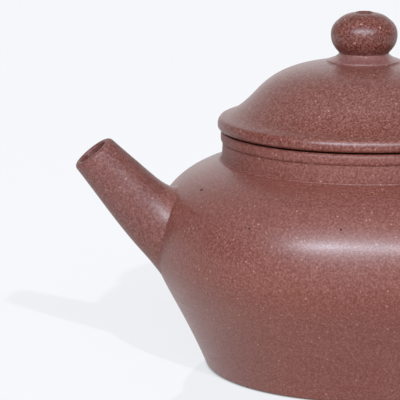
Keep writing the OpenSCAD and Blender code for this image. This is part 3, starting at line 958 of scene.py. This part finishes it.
def zone_masks(tree, place, zones):
    """Each zone with its mask, which rises from 0 to 1 between two places along its axis."""
    along = add_node(tree, "SeparateXYZ", {0: place}).outputs
    return [(ramp(tree, along[z["axis"]], z["start"], z["end"], 0.0, 1.0), z) for z in zones]


def in_zones(tree, masks, what, everywhere):
    """A value that is the same everywhere, but for what each zone adds to it."""
    value = everywhere
    for mask, adds in masks:
        if what in adds:
            value = math_node(tree, "MULTIPLY_ADD", mask, adds[what], value)
    return value


print("zones:", len(POT_ZONES), "on the pot,", len(LID_ZONES), "on the lid")

# %% [markdown]
# ## Masks of a clay
# Colour, shine and relief have to agree: a pale grain is also a rough one and a raised one. So each clay first
# gets all its masks, and the next three cells draw on them.

# %% Lay out a clay's masks
DRIFT_PER_METRE, MOTTLE_PER_METRE = 38, 2000
GRAIN_SETS = {"dark": (2300, 0.5, 0.34), "pale": (2700, 0.5, 0.34), "bright": (1400, 0.3, 0.08)}


def clay_masks(tree, grain, zones, pinholes):
    """Every mask of a clay by its name. Grain says how strongly its grains show."""
    place = add_node(tree, "TexCoord").outputs["Object"]
    masks = {"zones": zone_masks(tree, place, zones), "pits": 0.0}
    masks["gain"] = in_zones(tree, masks["zones"], "grain", grain)
    tones = use_group(tree, tone_group, {"Place": place, "Drift per metre": DRIFT_PER_METRE,
                                         "Mottle per metre": MOTTLE_PER_METRE})
    masks["drift"], masks["mottle"] = tones["Drift"], tones["Mottle"]
    masks["streak"] = use_group(tree, burnish_group, {"Place": place})["Streak"]
    for kind, (per_metre, radius, share) in GRAIN_SETS.items():
        masks[kind] = use_group(tree, grains_group, {"Place": place, "Per metre": per_metre, "Radius": radius,
                                                     "Share": share})["Mask"]
    for centre, radius in pinholes:
        pin = use_group(tree, pinhole_group, {"Place": place, "Centre": centre * MM, "Radius": radius * MM})
        masks["pits"] = math_node(tree, "MAXIMUM", pin["Mask"], masks["pits"])
    return masks


# %% [markdown]
# ## Colour
# The body drifts between a purple and a warmer brown, and the mottling makes it lighter and darker. The grains and
# pits go over it. A colour ramp could paint all that from one texture, but then a grain couldn't be told from a
# stain, and the shine couldn't follow it.

# %% Colour of a clay
GRAIN_COLOURS = {"dark": (0.04, (0.045, 0.014, 0.013, 1)), "pale": (0.22, (0.30, 0.125, 0.095, 1)),
                 "bright": (0.36, (0.46, 0.25, 0.18, 1))}
# The pit colour is painted shade: near-black inside each tiny pit.
PIT_SHADE = (0.012, 0.008, 0.008, 1)
DRIFT_SHARE, DRIFT_START, STREAK_SHARE = 0.7, -0.15, 0.6
MOTTLE, PALE_LEAN = 2.1, 0.7
GRAIN_SHIFT, WARM_SHIFT = (0.105, 0.057, 0.052), (0.006, -0.006, -0.008)
LEAST = (0.02, 0.006, 0.005)


def clay_colour(tree, masks, tone, warm_tone):
    """The body's colour with its drift, mottling, grains and pits."""
    drift = math_node(tree, "MULTIPLY_ADD", masks["drift"], DRIFT_SHARE, DRIFT_START)
    warmth = math_node(tree, "MULTIPLY_ADD", masks["streak"], STREAK_SHARE, drift)
    colour = mix_colour(tree, warmth, (*tone, 1), (*warm_tone, 1))
    uneven = math_node(tree, "MULTIPLY_ADD", masks["mottle"], MOTTLE, -MOTTLE / 2)
    uneven = math_node(tree, "MULTIPLY", uneven, math_node(tree, "MULTIPLY_ADD", uneven, PALE_LEAN, 1.0))
    # Zone tones add painted shade on the lower wall and lid edge, a painted sheen on the seat, and the knob's
    # darker clay.
    shade = math_node(tree, "MULTIPLY_ADD", uneven, masks["gain"], in_zones(tree, masks["zones"], "tone", 0.0))
    warmth_and_painted_light = in_zones(tree, masks["zones"], "warm", 0.0)
    for shift, amount in ((GRAIN_SHIFT, shade), (WARM_SHIFT, warmth_and_painted_light)):
        added = vector_node(tree, "SCALE", {0: shift, 3: amount})
        colour = vector_node(tree, "ADD", {0: colour, 1: added})
    colour = vector_node(tree, "MAXIMUM", {0: colour, 1: LEAST})
    for kind, (strength, grain_colour) in GRAIN_COLOURS.items():
        share = math_node(tree, "MULTIPLY", math_node(tree, "MULTIPLY", masks[kind], strength), masks["gain"])
        colour = mix_colour(tree, share, colour, grain_colour)
    return mix_colour(tree, masks["pits"], colour, PIT_SHADE)


# %% [markdown]
# ## Shine and relief
# The bare clay is rough. Where the blade passed, a thin polished skin lies on it, and the shader's coat stands for
# that skin. One roughness for both would give a shine that is either too sharp or too dull. The relief is a few
# thousandths of a millimetre, so it is a bump and no real shape.

# %% Shine and relief of a clay
SHINE_SPREAD, PALE_ROUGHER, STREAK_LIFT = 0.1, 0.08, 0.5
PALE_RISE, DARK_DIP, PIT_DIP = 0.5, -0.4, -3.0


def clay_shine(tree, masks, roughness, polish):
    """Roughness of the clay, and how much of the polished skin lies on it."""
    rough = in_zones(tree, masks["zones"], "roughness", roughness - SHINE_SPREAD / 2)
    rough = math_node(tree, "MULTIPLY_ADD", masks["streak"], SHINE_SPREAD, rough)
    rough = math_node(tree, "MULTIPLY_ADD", masks["pale"], PALE_ROUGHER, rough)
    rough = math_node(tree, "MAXIMUM", rough, masks["pits"])
    skin_share = in_zones(tree, masks["zones"], "polish", polish)
    skin_share = math_node(tree, "MULTIPLY", skin_share, math_node(tree, "ADD", masks["streak"], STREAK_LIFT))
    skin_share = math_node(tree, "MULTIPLY", skin_share, math_node(tree, "SUBTRACT", 1.0, masks["pits"]))
    return rough, skin_share


def clay_relief(tree, masks, relief):
    """A bump from the mottling, the grains and the pits. Relief is the height of the mottling, in metres."""
    height = math_node(tree, "MULTIPLY_ADD", masks["pale"], PALE_RISE, masks["mottle"])
    height = math_node(tree, "MULTIPLY_ADD", masks["dark"], DARK_DIP, height)
    height = math_node(tree, "MULTIPLY_ADD", masks["pits"], PIT_DIP, height)
    height = math_node(tree, "MULTIPLY", height, masks["gain"])
    return add_node(tree, "Bump", {"Height": height, "Strength": 1.0, "Distance": relief}).outputs["Normal"]


# %% [markdown]
# ## The three clays
# The pot and the lid were made from one lump but burnished apart, so the lid shines a little more. The inside
# was never burnished: it is matt, and its grain stands up.

# %% Mix the clays
CLAY_SHINE, SKIN_ROUGHNESS = 0.5, 0.27
PINHOLES = ((Vector((-38.4, -12.1, 43.3)), 0.28), (Vector((-31.1, -32.2, 38.6)), 0.16),
            (Vector((-13.3, -41.8, 39.9)), 0.16), (Vector((-29.1, -19.5, 0.3)), 0.22))


def mix_clay(name, tone, warm_tone, grain, roughness, polish, relief, zones=(), pinholes=()):
    """A clay between two tones, with its grains, shine, relief in metres, zones and pinholes."""
    clay = bpy.data.materials.new(name)
    clay.use_nodes = True
    tree = clay.node_tree
    shader = tree.nodes["Principled BSDF"].inputs
    shader["Specular IOR Level"].default_value = CLAY_SHINE
    shader["Coat Roughness"].default_value = SKIN_ROUGHNESS
    masks = clay_masks(tree, grain, zones, pinholes)
    rough, skin_share = clay_shine(tree, masks, roughness, polish)
    tree.links.new(clay_colour(tree, masks, tone, warm_tone), shader["Base Color"])
    tree.links.new(rough, shader["Roughness"])
    tree.links.new(skin_share, shader["Coat Weight"])
    tree.links.new(clay_relief(tree, masks, relief), shader["Normal"])
    print(name, len(tree.nodes), "nodes")
    return clay


pot_clay = mix_clay("pot_clay", tone=(0.131, 0.039, 0.033), warm_tone=(0.155, 0.047, 0.034), grain=1.6,
                    roughness=0.48, polish=0.08, relief=0.008 * MM, zones=POT_ZONES, pinholes=PINHOLES)
lid_clay = mix_clay("lid_clay", tone=(0.140, 0.039, 0.031), warm_tone=(0.162, 0.047, 0.032), grain=1.75,
                    roughness=0.46, polish=0.35, relief=0.008 * MM, zones=LID_ZONES)
inner_clay = mix_clay("inner_clay", tone=(0.130, 0.046, 0.038), warm_tone=(0.144, 0.050, 0.038), grain=1.2,
                      roughness=0.75, polish=0.0, relief=0.03 * MM)

# %% [markdown]
# ## Inside and outside
# A blade can't reach the inside of the pot, so its clay stays matt there. The pot's turned pieces and the lid's
# edge and crown get both clays, and their faces that look at the axis, or down under the lid, get the second one.

# %% Dress the pieces
FACING, LEVEL = 0.25, 0.9
POT_FLOOR_Z, LID_INSIDE_R = 10 * MM, 32 * MM


def dress(piece, clay, inside=None):
    """One clay all over, and a second one on the faces for which inside(middle, normal) holds."""
    piece.data.materials.clear()
    piece.data.materials.append(clay)
    if inside:
        piece.data.materials.append(inner_clay)
        for face in piece.data.polygons:
            face.material_index = 1 if inside(face.center, face.normal) else 0


def towards_axis(middle, normal):
    """True for a face that looks at the pot's axis."""
    return normal.x * middle.x + normal.y * middle.y < -FACING * middle.xy.length


def in_the_pot(middle, normal):
    """True for a face of the foot slab that lies inside the pot."""
    return towards_axis(middle, normal) or normal.z > LEVEL and middle.z < POT_FLOOR_Z


def under_the_lid(middle, normal):
    """True for a face that looks down inside the lid."""
    return normal.z < -FACING and middle.xy.length < LID_INSIDE_R


for name, piece in pot_pieces.items():
    dress(piece, pot_clay, towards_axis if name != "foot_slab" else in_the_pot)
for piece in (spout, handle):
    dress(piece, pot_clay)
for name, piece in lid_pieces.items():
    if name == "lid_collar":
        dress(piece, inner_clay)
    else:
        dress(piece, lid_clay, under_the_lid if name in ("lid_edge", "lid_crown") else None)
dress(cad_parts["strainer_dome"], inner_clay)
print("clays:", [m.name for m in (pot_clay, lid_clay, inner_clay)])
